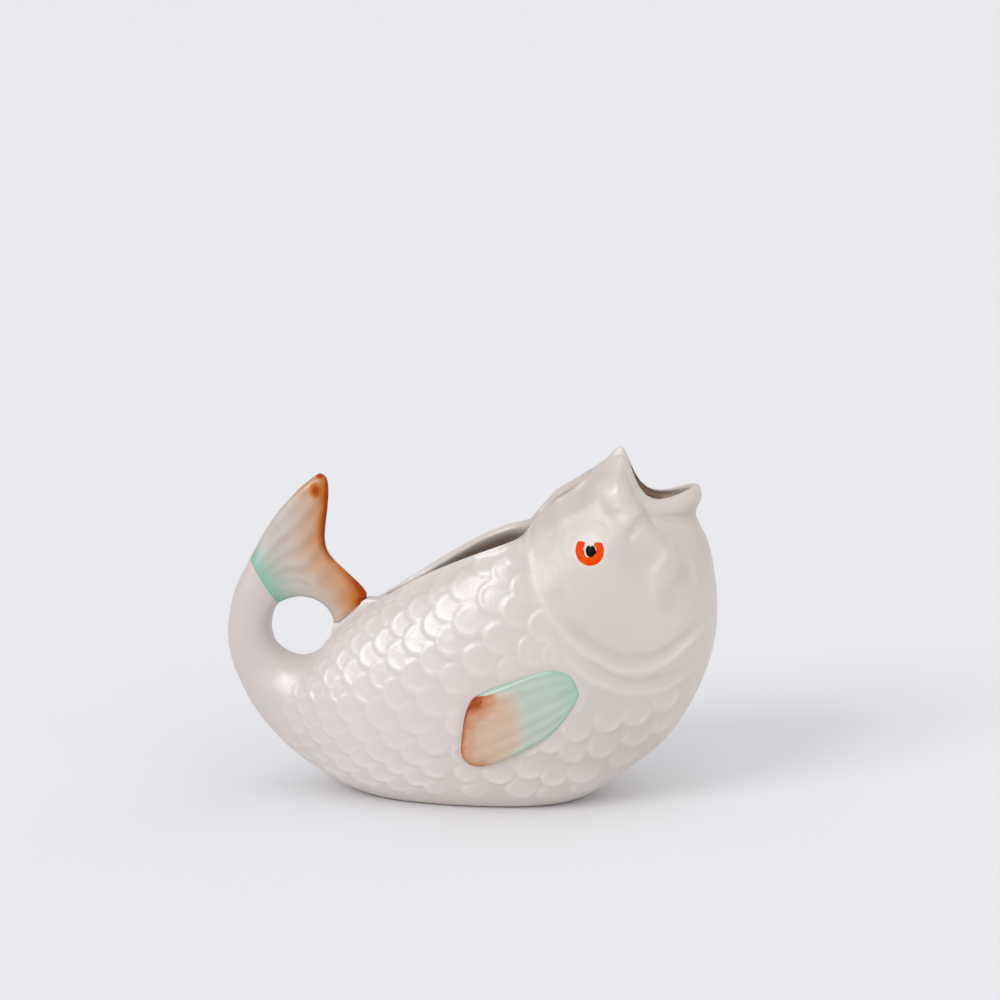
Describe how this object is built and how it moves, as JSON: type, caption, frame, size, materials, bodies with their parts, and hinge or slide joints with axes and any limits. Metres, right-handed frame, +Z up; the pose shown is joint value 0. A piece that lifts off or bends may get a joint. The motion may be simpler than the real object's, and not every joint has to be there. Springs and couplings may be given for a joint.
{
  "type": "gurgle jug",
  "caption": "Fish-shaped ceramic pouring jug with an upturned mouth, an open back and a curled tail that forms a finger ring.",
  "frame": {"origin": "under the middle of the jug, on the surface that its flat foot stands on", "axes": "+X from the tail ring towards the head, +Y across the jug to the fish's left side, +Z up"},
  "size_m": [0.201, 0.0854, 0.1465],
  "materials": {
    "pale_glaze": "semi-gloss pale pinkish-grey glaze over moulded relief",
    "fluke_glaze": "semi-gloss glaze, sprayed green at the root, cream, and brown at the free edge",
    "fin_glaze": "semi-gloss glaze, sprayed green at the root and brown at the free end",
    "iris_enamel": "glossy orange enamel",
    "pupil_enamel": "glossy black enamel"
  },
  "bodies": {
    "root": {"body_casting": "pale_glaze", "tail_stem": "pale_glaze", "tail_fluke": "fluke_glaze", "tail_pad": "pale_glaze", "fin_right": "fin_glaze", "fin_left": "fin_glaze", "eye_right": "pale_glaze", "eye_left": "pale_glaze", "iris_right": "iris_enamel", "iris_left": "iris_enamel", "pupil_right": "pupil_enamel", "pupil_left": "pupil_enamel"}
  },
  "joints": []
}
